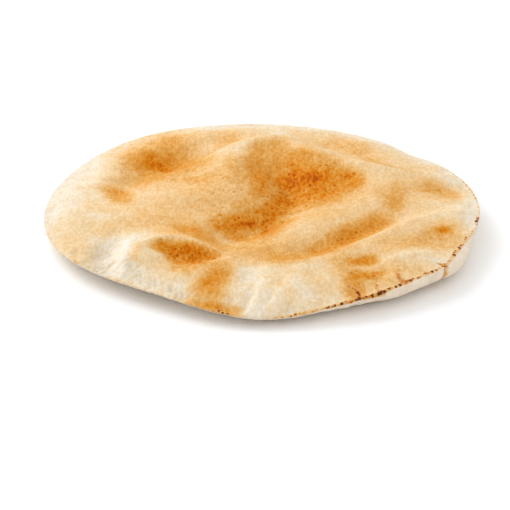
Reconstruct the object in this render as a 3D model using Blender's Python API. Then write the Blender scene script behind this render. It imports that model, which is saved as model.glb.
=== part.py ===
"""Pita bread: one round of pocket bread that puffed up in the oven, settled and lies on its back.

The round is a top layer and an underside that meet in a crisp seam all the way round. The top
has sunk into folds and dents. The underside is flat in the middle and curves up to the seam.
Metres, +Z up, the front edge towards -Y, the origin on the table under the middle.
"""

import math
from typing import NamedTuple

import bmesh
import bpy
import numpy as np
from mathutils import Matrix

# Driving dimensions, in metres.
RADIUS = 0.120  # from the middle to the seam, before the outline's bulges
CROWN = 0.0125  # height of the settled top between its folds
SEAM_HEIGHT = 0.0078  # height of the seam above the table, before its lifts
LIP = 0.0016  # thickness where the two layers meet in the seam

# From here on lengths are shares of RADIUS, apart from the heights, which are in metres.
SHOULDER = 0.30  # how far in from the seam the top reaches its crown
SHOULDER_POWER = 2.2  # 2 is a parabola, more makes a rounder edge
CALM_EDGE = 0.10  # how far in from the seam the folds fade out
SIDE_REACH = 0.16  # how far the rounded side reaches in under the bread
SIDE_FALL = 0.7  # slope of the side from an inboard seam down to the outline


class Swell(NamedTuple):
    """A smooth change along the rim, its direction counted in degrees from +X towards +Y."""

    direction: float
    spread: float
    change: float


BULGES = (  # of the outline
    Swell(0, 40, 0.015),
    Swell(125, 22, 0.030),
    Swell(180, 40, 0.015),
    Swell(-122, 24, -0.070),
    Swell(-72, 14, -0.030),
    Swell(-36, 9, 0.018),
    Swell(-31, 8, 0.022),
    Swell(42, 6, -0.017),
)
LIFTS = (  # of the seam, in metres
    Swell(2, 28, 0.0040),
    Swell(105, 50, 0.0020),
    Swell(-140, 26, 0.0015),
    Swell(-88, 16, -0.0030),
    Swell(-35, 30, 0.0050),
    Swell(42, 7, -0.0009),
)
UNDERCUTS = (  # extra reach of the rounded side
    Swell(150, 60, 0.10),
    Swell(-115, 40, 0.22),
)
INBOARD = (  # how far the seam lies inside the outline, in metres
    Swell(-50, 9, 0.0021),
    Swell(-31, 8, 0.0026),
    Swell(-26, 9, 0.0022),
)


class Fold(NamedTuple):
    """A ridge, or a trough where its rise is negative, along a smooth path.

    The path's points are (x, y, share of the rise). The flanks fall away over the half widths
    to the left and right of the path. A flank of 1 gives a sharp crest, 2 a round one.
    """

    rise: float
    left: float
    right: float
    flank: float
    path: tuple


FOLDS = {
    "left shoulder": Fold(
        0.0035, 0.12, 0.12, 2.0,
        ((-0.86, -0.12, 0.3), (-0.80, 0.12, 0.7), (-0.66, 0.46, 1.0), (-0.36, 0.76, 0.7),
         (-0.14, 0.83, 0.3)),
    ),
    "left trough": Fold(
        -0.006, 0.13, 0.09, 1.8,
        ((-0.68, 0.12, 0.4), (-0.64, 0.30, 0.7), (-0.48, 0.48, 1.0), (-0.30, 0.57, 0.6)),
    ),
    "left ridge": Fold(
        0.0012, 0.07, 0.08, 1.6,
        ((-0.82, -0.06, 0.4), (-0.64, -0.09, 1.0), (-0.44, -0.15, 0.7)),
    ),
    "left hollow": Fold(
        -0.0015, 0.08, 0.06, 2.0,
        ((-0.67, -0.26, 0.7), (-0.72, -0.40, 1.0), (-0.71, -0.54, 0.7)),
    ),
    "middle mound": Fold(
        0.0043, 0.18, 0.14, 2.0,
        ((-0.52, 0.02, 0.7), (-0.34, 0.09, 1.0), (-0.20, 0.13, 1.0), (-0.11, 0.15, 0.8)),
    ),
    "mound shoulder": Fold(
        0.004, 0.12, 0.10, 2.0,
        ((-0.16, 0.24, 0.5), (-0.15, 0.36, 1.0), (-0.12, 0.48, 1.0)),
    ),
    "back ridge": Fold(
        0.0103, 0.08, 0.18, 1.3,
        ((-0.28, 0.52, 0.2), (-0.12, 0.61, 0.6), (0.08, 0.66, 1.0), (0.20, 0.575, 0.92),
         (0.33, 0.465, 0.8), (0.48, 0.40, 0.7), (0.84, 0.31, 0.35), (0.94, 0.25, 0.1)),
    ),
    "back hollow": Fold(
        -0.002, 0.07, 0.07, 2.0,
        ((0.20, 0.84, 0.5), (0.36, 0.72, 1.0), (0.52, 0.60, 0.5)),
    ),
    "deep valley": Fold(
        -0.008, 0.10, 0.11, 1.8,
        ((0.03, 0.52, 0.2), (0.10, 0.32, 0.7), (0.12, 0.08, 0.9), (0.01, -0.12, 1.0),
         (-0.09, -0.22, 1.0), (-0.17, -0.32, 0.6)),
    ),
    "valley arm": Fold(
        -0.0025, 0.12, 0.07, 2.0,
        ((0.18, 0.12, 0.4), (0.28, 0.16, 1.0), (0.40, 0.28, 0.8)),
    ),
    "middle ridge": Fold(
        0.0035, 0.12, 0.13, 2.0,
        ((0.04, -0.42, 0.3), (0.14, -0.31, 0.7), (0.26, -0.20, 1.0), (0.52, -0.01, 1.0),
         (0.58, 0.16, 0.7)),
    ),
    "right valley": Fold(
        -0.0025, 0.07, 0.05, 1.8,
        ((0.02, -0.47, 0.2), (0.20, -0.44, 0.7), (0.38, -0.33, 1.0), (0.60, -0.14, 0.4)),
    ),
    "right ridge": Fold(
        0.0055, 0.06, 0.17, 1.4,
        ((0.20, -0.58, 0.2), (0.45, -0.42, 0.7), (0.58, -0.32, 1.0), (0.70, -0.22, 1.0),
         (0.84, -0.13, 0.7), (0.96, -0.10, 0.3)),
    ),
    "edge ridge": Fold(
        0.0015, 0.05, 0.05, 1.5,
        ((0.72, 0.02, 0.3), (0.83, 0.02, 1.0), (0.96, -0.01, 1.0)),
    ),
    "edge hollow": Fold(
        -0.0025, 0.08, 0.07, 2.0,
        ((0.76, 0.20, 0.4), (0.86, 0.16, 1.0), (0.94, 0.13, 0.8)),
    ),
    "front arch": Fold(
        0.0065, 0.065, 0.08, 1.2,
        ((-0.63, -0.70, 0.2), (-0.61, -0.58, 0.5), (-0.53, -0.43, 0.9), (-0.43, -0.375, 1.0),
         (-0.33, -0.40, 0.9), (-0.12, -0.52, 0.2)),
    ),
    "front bulge": Fold(
        0.002, 0.08, 0.08, 2.0,
        ((-0.52, -0.62, 0.5), (-0.49, -0.55, 1.0), (-0.44, -0.60, 0.5)),
    ),
    "front dent": Fold(
        -0.0045, 0.05, 0.06, 1.8,
        ((-0.42, -0.45, 0.4), (-0.35, -0.50, 1.0), (-0.28, -0.52, 1.0), (-0.20, -0.50, 0.4)),
    ),
    "front knob": Fold(
        0.002, 0.05, 0.10, 1.8,
        ((-0.34, -0.63, 0.2), (-0.24, -0.60, 0.8), (-0.16, -0.58, 1.0)),
    ),
    "front crease": Fold(
        -0.0015, 0.05, 0.04, 1.6,
        ((-0.07, -0.56, 0.7), (-0.06, -0.68, 1.0), (-0.10, -0.80, 0.3)),
    ),
    "front brow": Fold(
        0.002, 0.05, 0.14, 1.6,
        ((-0.04, -0.54, 0.5), (0.12, -0.60, 1.0), (0.30, -0.57, 0.5)),
    ),
    "right dent": Fold(
        -0.0025, 0.06, 0.05, 2.0,
        ((0.42, -0.54, 0.4), (0.49, -0.57, 1.0), (0.53, -0.64, 0.8)),
    ),
    "right brow": Fold(
        0.0025, 0.06, 0.09, 1.5,
        ((0.53, -0.60, 0.2), (0.60, -0.54, 0.8), (0.68, -0.53, 1.0), (0.76, -0.56, 0.4)),
    ),
}

# Fineness of the mesh and of the paths.
RINGS = 24  # rings of vertices from the middle of a face to the seam
TOP_CROWDING = 1.25  # 1 spaces the rings evenly, more crowds them towards the seam
UNDER_CROWDING = 1.6
PATH_STEP = 0.02  # length of the straight steps of a path
BLEND = 8  # how tightly the steps of one fold blend into each other


def along_rim(angle, swells):
    """The sum of the swells at each angle."""
    total = np.zeros_like(angle)
    for swell in swells:
        away = np.angle(np.exp(1j * (angle - math.radians(swell.direction))))
        total += swell.change * np.exp(-((away / math.radians(swell.spread)) ** 2))
    return total


def outline_radius(angle):
    return RADIUS * (1 + along_rim(angle, BULGES))


def seam_height(angle):
    return SEAM_HEIGHT + along_rim(angle, LIFTS)


def edge_height(angle):
    """Height of the outline, which lies lower than a seam that is set inboard."""
    return seam_height(angle) - SIDE_FALL * along_rim(angle, INBOARD)


def smooth_path(points):
    """The points joined by a Catmull-Rom curve, in short straight steps."""
    knots = np.array(points)
    padded = np.vstack([2 * knots[0] - knots[1], knots, 2 * knots[-1] - knots[-2]])
    made = []
    for i in range(len(knots) - 1):
        before, start, end, after = padded[i : i + 4]
        steps = math.ceil(math.dist(start[:2], end[:2]) / PATH_STEP)
        for t in np.arange(steps) / steps:
            slope = (end - before) * t
            bend = (2 * before - 5 * start + 4 * end - after) * t**2
            twist = (3 * start - before - 3 * end + after) * t**3
            made.append(start + (slope + bend + twist) / 2)
    return np.array([*made, knots[-1]])


def fold_height(x, y, fold):
    """What one fold adds at x and y, in metres. Its steps blend as a soft maximum."""
    path = smooth_path(fold.path)
    total = np.zeros_like(x)
    for start, end in zip(path[:-1], path[1:]):
        dx, dy = (end - start)[:2]
        middle_x, middle_y, share = (start + end) / 2
        length = math.hypot(dx, dy)
        off_x, off_y = x - middle_x, y - middle_y
        distance = np.hypot(off_x, off_y) + 1e-9
        side = (dx * off_y - dy * off_x) / (length * distance)
        width = (fold.left * (1 + side) + fold.right * (1 - side)) / 2
        height = share * np.exp(-((distance / width) ** fold.flank))
        total += height**BLEND * length / width
    return fold.rise * total ** (1 / BLEND)


def top_height(x, y, outward, angle):
    """Height of the top layer. outward goes from 0 in the middle to 1 at the seam."""
    inward = 1 - outward
    seam = seam_height(angle) + LIP / 2
    shoulder = 1 - np.clip(1 - inward / SHOULDER, 0, 1) ** SHOULDER_POWER
    calm = np.clip(inward / CALM_EDGE, 0, 1)
    calm = calm * calm * (3 - 2 * calm)
    folds = sum(fold_height(x / RADIUS, y / RADIUS, fold) for fold in FOLDS.values())
    past_seam = np.hypot(x, y) + along_rim(angle, INBOARD) - outline_radius(angle)
    side = SIDE_FALL * np.maximum(past_seam, 0)
    return seam + (CROWN - seam) * shoulder + calm * folds - side


def under_height(x, y, outward, angle):
    """Height of the underside: flat in the middle, then up a rounded side to the seam."""
    reach = SIDE_REACH + along_rim(angle, UNDERCUTS)
    rounded = np.clip(1 - (1 - outward) / reach, 0, 1)
    return (edge_height(angle) - LIP / 2) * (1 - np.sqrt(1 - rounded**2))


def to_round(u, v, crowding):
    """Where the points u, v of a square grid go on the round, as outward and angle.

    The square's rings become round ones, so the grid has no pinched middle.
    """
    ring = np.maximum(abs(u), abs(v))
    wide = abs(u) >= abs(v)
    main, minor = np.where(wide, u, v), np.where(wide, v, u)
    turn = math.pi / 4 * np.divide(minor, main, out=np.zeros_like(u), where=main != 0)
    angle = np.where(wide, turn, math.pi / 2 - turn) + np.where(main < 0, math.pi, 0)
    return 1 - (1 - ring) ** crowding, angle


def add_face(solid, height, crowding):
    """Adds one face of the bread to the solid, as a sheet of quads that ends at the seam."""
    grid = bmesh.ops.create_grid(solid, x_segments=2 * RINGS, y_segments=2 * RINGS, size=1)
    u, v = np.array([vertex.co[:2] for vertex in grid["verts"]]).T
    outward, angle = to_round(u, v, crowding)
    x = outward * outline_radius(angle) * np.cos(angle)
    y = outward * outline_radius(angle) * np.sin(angle)
    z = height(x, y, outward, angle)
    for vertex, place in zip(grid["verts"], zip(x, y, z)):
        vertex.co = place


def bread_mesh():
    """Both faces, joined by the thin lip of the seam into one closed solid."""
    solid = bmesh.new()
    add_face(solid, top_height, TOP_CROWDING)
    add_face(solid, under_height, UNDER_CROWDING)
    rims = [edge for edge in solid.edges if edge.is_boundary]
    bmesh.ops.bridge_loops(solid, edges=rims)
    bmesh.ops.recalc_face_normals(solid, faces=solid.faces)
    mesh = bpy.data.meshes.new("pita_bread")
    solid.to_mesh(mesh)
    solid.free()
    return mesh


def centre(mesh):
    """Moves the mesh sideways until the middle of its box is over the origin."""
    places = np.array([vertex.co for vertex in mesh.vertices])
    middle = (places.min(axis=0) + places.max(axis=0)) / 2
    mesh.transform(Matrix.Translation((-middle[0], -middle[1], 0)))


def baked_dough():
    material = bpy.data.materials.new("baked_dough")
    material.use_nodes = True
    shader = material.node_tree.nodes["Principled BSDF"]
    shader.inputs["Base Color"].default_value = (0.83, 0.62, 0.36, 1)
    shader.inputs["Metallic"].default_value = 0
    shader.inputs["Roughness"].default_value = 0.75
    return material


def main():
    for old in list(bpy.data.objects):
        bpy.data.objects.remove(old)
    bread = bpy.data.objects.new("pita_bread", bread_mesh())
    centre(bread.data)
    bread.data.materials.append(baked_dough())
    bread.data.shade_smooth()
    bpy.context.scene.collection.objects.link(bread)


if __name__ == "__main__":
    main()
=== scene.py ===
"""Pita bread: the finished crust of one round of pocket bread, with its floor, light and camera.

The crust has the solid's folds and adds what the oven does to thin dough: a crisp, toasted seam,
browned hollows, flour, freckles, blisters and the small wrinkles that run down to the rim.
Metres, +Z up, the front edge towards -Y.
"""

import math
from typing import NamedTuple

import bpy
import numpy as np
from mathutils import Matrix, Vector


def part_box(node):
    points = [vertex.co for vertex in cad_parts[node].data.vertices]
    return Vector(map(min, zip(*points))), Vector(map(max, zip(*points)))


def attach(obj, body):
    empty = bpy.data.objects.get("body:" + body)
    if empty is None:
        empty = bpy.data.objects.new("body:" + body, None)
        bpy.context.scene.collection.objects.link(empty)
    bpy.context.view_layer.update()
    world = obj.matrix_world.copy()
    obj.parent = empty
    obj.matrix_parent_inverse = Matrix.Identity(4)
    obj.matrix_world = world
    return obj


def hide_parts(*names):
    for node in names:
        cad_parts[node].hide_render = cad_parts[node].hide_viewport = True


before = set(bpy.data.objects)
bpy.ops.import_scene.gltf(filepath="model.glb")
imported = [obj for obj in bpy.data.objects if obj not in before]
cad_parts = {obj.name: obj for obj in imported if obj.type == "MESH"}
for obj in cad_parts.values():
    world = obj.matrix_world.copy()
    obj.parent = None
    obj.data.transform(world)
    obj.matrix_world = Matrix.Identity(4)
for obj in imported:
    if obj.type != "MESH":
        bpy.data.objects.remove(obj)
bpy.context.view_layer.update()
LOWEST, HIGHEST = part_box("pita_bread")

# ---- The form of the bread -----------------------------------------------------------------

RADIUS = (HIGHEST.x - LOWEST.x) / 2.03  # from the middle to the seam, before the bulges
CROWN = 0.0125  # height of the settled top between its folds
SEAM_HEIGHT = 0.0078  # height of the seam above the table, before its lifts
LIP = 0.0016  # thickness where the two layers meet in the seam

# From here on lengths are shares of RADIUS, apart from the heights, which are in metres.
SHOULDER = 0.30  # how far in from the seam the top reaches its crown
SHOULDER_POWER = 2.2  # 2 is a parabola, more makes a rounder edge
CALM_EDGE = 0.10  # how far in from the seam the folds fade out
SIDE_REACH = 0.16  # how far the rounded side reaches in under the bread
SIDE_FALL = 0.7  # slope of the side from an inboard seam down to the outline


class Swell(NamedTuple):
    """A smooth change along the rim, its direction counted in degrees from +X towards +Y."""

    direction: float
    spread: float
    change: float


BULGES = (  # of the outline
    Swell(0, 40, 0.015),
    Swell(125, 22, 0.030),
    Swell(180, 40, 0.015),
    Swell(-122, 24, -0.070),
    Swell(-72, 14, -0.030),
    Swell(-36, 9, 0.018),
    Swell(-31, 8, 0.022),
    Swell(42, 6, -0.017),
)
LIFTS = (  # of the seam, in metres
    Swell(2, 28, 0.0040),
    Swell(105, 50, 0.0020),
    Swell(-140, 26, 0.0015),
    Swell(-88, 16, -0.0030),
    Swell(-35, 30, 0.0050),
    Swell(42, 7, -0.0009),
)
UNDERCUTS = (  # extra reach of the rounded side
    Swell(150, 60, 0.10),
    Swell(-115, 40, 0.22),
)
INBOARD = (  # how far the seam lies inside the outline, in metres
    Swell(-50, 9, 0.0021),
    Swell(-31, 8, 0.0026),
    Swell(-26, 9, 0.0022),
)
NICKS = (  # where the crisp edge is torn, in metres
    Swell(-37.3, 0.8, 0.0020),
    Swell(-99, 0.7, 0.0008),
    Swell(-121, 0.8, 0.0007),
)
TOASTED = (  # how darkly the seam is toasted, over its plain colour
    Swell(-128, 20, 0.16),
    Swell(-101, 3, 0.55),
    Swell(-80, 8, 0.40),
    Swell(-61, 11, 0.95),
    Swell(-42, 7, 0.42),
    Swell(-28, 9, 0.65),
    Swell(-10, 5, 0.65),
    Swell(12, 16, 0.34),
)
RAGGED = (  # how much the crisp edge is broken, over its plain share
    Swell(-60, 30, 0.7),
    Swell(-130, 20, 0.5),
)
PUCKERED = (  # how deep the small wrinkles are that run down to the rim
    Swell(-95, 28, 0.9),
    Swell(-140, 12, 0.9),
    Swell(-48, 14, 0.5),
    Swell(60, 60, 0.25),
    Swell(180, 50, 0.15),
)


class Stroke(NamedTuple):
    """A soft stroke along a smooth path, such as a ridge, a crack or a browned patch.

    The path's points are (x, y, share of the amount). The stroke fades out over the half widths
    to the left and right of the path. A flank of 1 gives a sharp crest, 2 a round one.
    """

    amount: float
    left: float
    right: float
    flank: float
    path: tuple


FOLDS = {  # amounts in metres
    "left shoulder": Stroke(
        0.0035, 0.12, 0.12, 2.0,
        ((-0.86, -0.12, 0.3), (-0.80, 0.12, 0.7), (-0.66, 0.46, 1.0), (-0.36, 0.76, 0.7),
         (-0.14, 0.83, 0.3)),
    ),
    "left trough": Stroke(
        -0.006, 0.13, 0.09, 1.8,
        ((-0.68, 0.12, 0.4), (-0.64, 0.30, 0.7), (-0.48, 0.48, 1.0), (-0.30, 0.57, 0.6)),
    ),
    "left ridge": Stroke(
        0.0012, 0.07, 0.08, 1.6,
        ((-0.82, -0.06, 0.4), (-0.64, -0.09, 1.0), (-0.44, -0.15, 0.7)),
    ),
    "left hollow": Stroke(
        -0.0015, 0.08, 0.06, 2.0,
        ((-0.67, -0.26, 0.7), (-0.72, -0.40, 1.0), (-0.71, -0.54, 0.7)),
    ),
    "middle mound": Stroke(
        0.0043, 0.18, 0.14, 2.0,
        ((-0.52, 0.02, 0.7), (-0.34, 0.09, 1.0), (-0.20, 0.13, 1.0), (-0.11, 0.15, 0.8)),
    ),
    "mound shoulder": Stroke(
        0.004, 0.12, 0.10, 2.0,
        ((-0.16, 0.24, 0.5), (-0.15, 0.36, 1.0), (-0.12, 0.48, 1.0)),
    ),
    "back ridge": Stroke(
        0.0102, 0.08, 0.18, 1.3,
        ((-0.28, 0.52, 0.2), (-0.12, 0.61, 0.6), (0.08, 0.66, 1.0), (0.20, 0.575, 0.92),
         (0.33, 0.465, 0.8), (0.48, 0.40, 0.7), (0.84, 0.31, 0.35), (0.94, 0.25, 0.1)),
    ),
    "back hollow": Stroke(
        -0.002, 0.07, 0.07, 2.0,
        ((0.20, 0.84, 0.5), (0.36, 0.72, 1.0), (0.52, 0.60, 0.5)),
    ),
    "deep valley": Stroke(
        -0.008, 0.10, 0.11, 1.8,
        ((0.03, 0.52, 0.2), (0.10, 0.32, 0.7), (0.12, 0.08, 0.9), (0.01, -0.12, 1.0),
         (-0.09, -0.22, 1.0), (-0.17, -0.32, 0.6)),
    ),
    "valley arm": Stroke(
        -0.0025, 0.12, 0.07, 2.0,
        ((0.18, 0.12, 0.4), (0.28, 0.16, 1.0), (0.40, 0.28, 0.8)),
    ),
    "middle ridge": Stroke(
        0.0035, 0.12, 0.13, 2.0,
        ((0.04, -0.42, 0.3), (0.14, -0.31, 0.7), (0.26, -0.20, 1.0), (0.52, -0.01, 1.0),
         (0.58, 0.16, 0.7)),
    ),
    "right valley": Stroke(
        -0.0025, 0.07, 0.07, 1.9,
        ((0.03, -0.48, 0.2), (0.215, -0.45, 0.7), (0.395, -0.34, 1.0), (0.61, -0.15, 0.5)),
    ),
    "right ridge": Stroke(
        0.0055, 0.06, 0.17, 1.4,
        ((0.20, -0.58, 0.2), (0.45, -0.42, 0.7), (0.58, -0.32, 1.0), (0.70, -0.22, 1.0),
         (0.84, -0.13, 0.7), (0.96, -0.10, 0.3)),
    ),
    "edge ridge": Stroke(
        0.0015, 0.05, 0.05, 1.5,
        ((0.72, 0.02, 0.3), (0.83, 0.02, 1.0), (0.96, -0.01, 1.0)),
    ),
    "edge hollow": Stroke(
        -0.0025, 0.08, 0.07, 2.0,
        ((0.76, 0.20, 0.4), (0.86, 0.16, 1.0), (0.94, 0.13, 0.8)),
    ),
    "front arch": Stroke(
        0.0065, 0.065, 0.08, 1.2,
        ((-0.585, -0.72, 0.2), (-0.59, -0.58, 0.5), (-0.53, -0.43, 0.9), (-0.43, -0.375, 1.0),
         (-0.33, -0.40, 0.9), (-0.12, -0.52, 0.2)),
    ),
    "front bulge": Stroke(
        0.002, 0.08, 0.08, 2.0,
        ((-0.52, -0.62, 0.5), (-0.49, -0.55, 1.0), (-0.44, -0.60, 0.5)),
    ),
    "front dent": Stroke(
        -0.0045, 0.05, 0.06, 1.8,
        ((-0.42, -0.45, 0.4), (-0.35, -0.50, 1.0), (-0.28, -0.52, 1.0), (-0.20, -0.50, 0.4)),
    ),
    "front knob": Stroke(
        0.002, 0.05, 0.10, 1.8,
        ((-0.34, -0.63, 0.2), (-0.24, -0.60, 0.8), (-0.16, -0.58, 1.0)),
    ),
    "front crease": Stroke(
        -0.0015, 0.05, 0.04, 1.6,
        ((-0.07, -0.56, 0.7), (-0.06, -0.68, 1.0), (-0.10, -0.80, 0.3)),
    ),
    "front brow": Stroke(
        0.002, 0.05, 0.14, 1.6,
        ((-0.04, -0.54, 0.5), (0.12, -0.60, 1.0), (0.30, -0.57, 0.5)),
    ),
    "right dent": Stroke(
        -0.0025, 0.06, 0.05, 2.0,
        ((0.42, -0.54, 0.4), (0.49, -0.57, 1.0), (0.53, -0.64, 0.8)),
    ),
    "right brow": Stroke(
        0.0025, 0.06, 0.09, 1.5,
        ((0.53, -0.60, 0.2), (0.60, -0.54, 0.8), (0.68, -0.53, 1.0), (0.76, -0.56, 0.4)),
    ),
}
WRINKLES = {  # amounts in metres
    "front pleat": Stroke(
        0.0014, 0.055, 0.016, 1.5,
        ((0.0, -0.66, 0.3), (0.009, -0.735, 0.8), (-0.004, -0.802, 1.0), (-0.018, -0.854, 1.0),
         (-0.038, -0.90, 1.0), (-0.053, -0.94, 0.9), (-0.062, -0.965, 0.5)),
    ),
    "front pleat's groove": Stroke(
        -0.0008, 0.014, 0.016, 1.5,
        ((-0.058, -0.81, 0.4), (-0.050, -0.857, 1.0), (-0.060, -0.89, 0.8), (-0.066, -0.923, 1.0),
         (-0.074, -0.95, 0.7)),
    ),
    "second pleat": Stroke(
        0.0012, 0.060, 0.018, 1.5,
        ((0.147, -0.654, 0.5), (0.124, -0.741, 0.9), (0.095, -0.804, 1.0), (0.072, -0.835, 1.0),
         (0.060, -0.87, 1.0), (0.048, -0.908, 0.9), (0.018, -0.944, 0.5)),
    ),
    "second pleat's groove": Stroke(
        -0.0007, 0.014, 0.017, 1.5,
        ((0.058, -0.82, 0.4), (0.036, -0.871, 1.0), (0.022, -0.909, 1.0), (-0.003, -0.944, 0.7)),
    ),
    "third groove": Stroke(
        -0.0007, 0.010, 0.010, 1.4,
        ((0.120, -0.90, 0.6), (0.121, -0.925, 1.0), (0.122, -0.95, 0.6)),
    ),
    "knob crack": Stroke(
        -0.0006, 0.012, 0.014, 1.4, ((-0.25, -0.72, 0.3), (-0.26, -0.81, 1.0), (-0.27, -0.90, 0.8))
    ),
    "left tuck": Stroke(
        -0.0008, 0.014, 0.016, 1.3,
        ((-0.81, -0.37, 0.4), (-0.84, -0.42, 1.0), (-0.84, -0.48, 0.6)),
    ),
    "arch foot": Stroke(
        -0.0005, 0.014, 0.014, 1.4,
        ((-0.640, -0.53, 0.3), (-0.645, -0.60, 1.0), (-0.638, -0.68, 0.9)),
    ),
    "left nick": Stroke(
        -0.0004, 0.012, 0.012, 1.4, ((-0.78, -0.49, 0.4), (-0.78, -0.53, 1.0), (-0.77, -0.57, 0.4))
    ),
    "right hook": Stroke(
        -0.0006, 0.011, 0.011, 1.3,
        ((0.376, -0.784, 0.5), (0.407, -0.80, 1.0), (0.423, -0.84, 1.0), (0.42, -0.88, 0.8)),
    ),
    "right slit": Stroke(
        -0.0004, 0.010, 0.010, 1.3, ((0.51, -0.70, 0.4), (0.50, -0.75, 1.0), (0.51, -0.79, 0.7))
    ),
    "right slit's neighbour": Stroke(
        -0.0004, 0.010, 0.010, 1.3, ((0.60, -0.66, 0.5), (0.61, -0.72, 1.0), (0.61, -0.77, 0.8))
    ),
    "brow line": Stroke(
        0.0009, 0.014, 0.035, 1.3,
        ((0.52, -0.595, 0.5), (0.578, -0.558, 0.8), (0.647, -0.540, 1.0), (0.704, -0.545, 1.0),
         (0.745, -0.570, 1.1), (0.780, -0.603, 1.0)),
    ),
    "notch": Stroke(
        -0.0009, 0.012, 0.012, 1.3,
        ((0.772, -0.592, 0.4), (0.798, -0.603, 1.0), (0.815, -0.618, 1.0), (0.83, -0.632, 0.8)),
    ),
    "left crease": Stroke(
        0.0004, 0.020, 0.030, 1.4,
        ((-0.92, -0.02, 0.4), (-0.74, -0.03, 1.0), (-0.54, -0.06, 0.7), (-0.38, -0.10, 0.3)),
    ),
    "arch's edge": Stroke(
        0.0019, 0.024, 0.034, 1.6,
        ((-0.575, -0.33, 0.3), (-0.605, -0.42, 0.9), (-0.613, -0.50, 1.0), (-0.614, -0.58, 1.1),
         (-0.620, -0.67, 1.1)),
    ),
    "inside the arch's edge": Stroke(
        -0.0004, 0.022, 0.018, 1.6,
        ((-0.545, -0.42, 0.4), (-0.575, -0.493, 0.9), (-0.588, -0.555, 1.0), (-0.584, -0.612, 1.0),
         (-0.572, -0.66, 0.8)),
    ),
    "hollow beside the arch": Stroke(
        -0.0016, 0.040, 0.055, 1.8,
        ((-0.655, -0.30, 0.3), (-0.703, -0.41, 1.0), (-0.720, -0.50, 1.1), (-0.722, -0.58, 1.0),
         (-0.705, -0.65, 0.8)),
    ),
    "back crest": Stroke(
        0.0010, 0.012, 0.045, 1.2,
        ((-0.31, 0.555, 0.3), (-0.20, 0.575, 1.0), (-0.10, 0.618, 1.0), (-0.02, 0.648, 0.6),
         (0.08, 0.655, 0.4), (0.145, 0.615, 0.4), (0.205, 0.560, 0.6), (0.27, 0.505, 0.8),
         (0.40, 0.427, 1.0), (0.52, 0.374, 1.0), (0.65, 0.330, 1.0), (0.74, 0.322, 0.9),
         (0.82, 0.316, 0.7), (0.88, 0.290, 0.6), (0.93, 0.240, 0.4)),
    ),
    "behind the back crest": Stroke(
        -0.0009, 0.034, 0.012, 1.5,
        ((-0.31, 0.580, 0.5), (-0.20, 0.602, 1.0), (-0.10, 0.646, 0.8), (-0.01, 0.675, 0.4),
         (0.08, 0.685, 0.2), (0.165, 0.640, 0.2), (0.225, 0.585, 0.4), (0.285, 0.530, 0.8),
         (0.41, 0.452, 1.0), (0.53, 0.399, 0.8), (0.66, 0.355, 0.6), (0.77, 0.348, 0.3)),
    ),
    "fold behind the crest": Stroke(
        0.0008, 0.018, 0.030, 1.4,
        ((0.22, 0.62, 0.4), (0.33, 0.585, 1.0), (0.42, 0.570, 0.9), (0.50, 0.52, 0.4)),
    ),
    "right ridge's crest": Stroke(
        0.0006, 0.040, 0.060, 1.6,
        ((0.27, -0.52, 0.2), (0.36, -0.475, 0.4), (0.44, -0.415, 0.5), (0.52, -0.34, 0.7),
         (0.60, -0.27, 1.0), (0.68, -0.20, 1.0), (0.76, -0.125, 1.0), (0.84, -0.09, 0.9),
         (0.89, -0.12, 0.6)),
    ),
    "edge ridge's crest": Stroke(
        0.0007, 0.020, 0.040, 1.5,
        ((0.72, 0.05, 0.3), (0.795, 0.024, 0.9), (0.88, -0.030, 1.0), (0.94, -0.046, 1.0),
         (0.985, -0.048, 0.6)),
    ),
    "basin's crease": Stroke(
        -0.0008, 0.024, 0.020, 1.5,
        ((0.030, 0.42, 0.3), (0.054, 0.325, 0.9), (0.090, 0.279, 1.0), (0.121, 0.240, 1.0),
         (0.138, 0.176, 0.9), (0.162, 0.130, 0.4)),
    ),
    "arch's crest": Stroke(
        0.0006, 0.030, 0.022, 1.4,
        ((-0.57, -0.29, 0.4), (-0.50, -0.245, 0.9), (-0.41, -0.28, 1.0), (-0.32, -0.365, 1.0),
         (-0.25, -0.43, 0.6)),
    ),
}
EDGE_WRINKLES = (  # where short wrinkles start that run over the drooping front edge
    (-0.622, -0.585), (-0.584, -0.601), (-0.555, -0.640), (-0.534, -0.652), (-0.493, -0.680),
    (-0.468, -0.702), (-0.436, -0.735), (-0.402, -0.760), (-0.372, -0.785), (-0.350, -0.790),
    (-0.318, -0.812), (-0.285, -0.822),
)
for number, (start_x, start_y) in enumerate(EDGE_WRINKLES):
    long = 0.06 + 0.035 * math.sin(5 * number)
    WRINKLES[f"edge wrinkle {number + 1}"] = Stroke(
        -0.0007 - 0.0003 * math.sin(3 * number), 0.008, 0.008, 1.4,
        ((start_x, start_y, 0.4), (start_x + 0.003, start_y - long / 2, 1.0),
         (start_x + 0.004, start_y - long, 0.9)),
    )

# ---- How it is baked -----------------------------------------------------------------------

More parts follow.
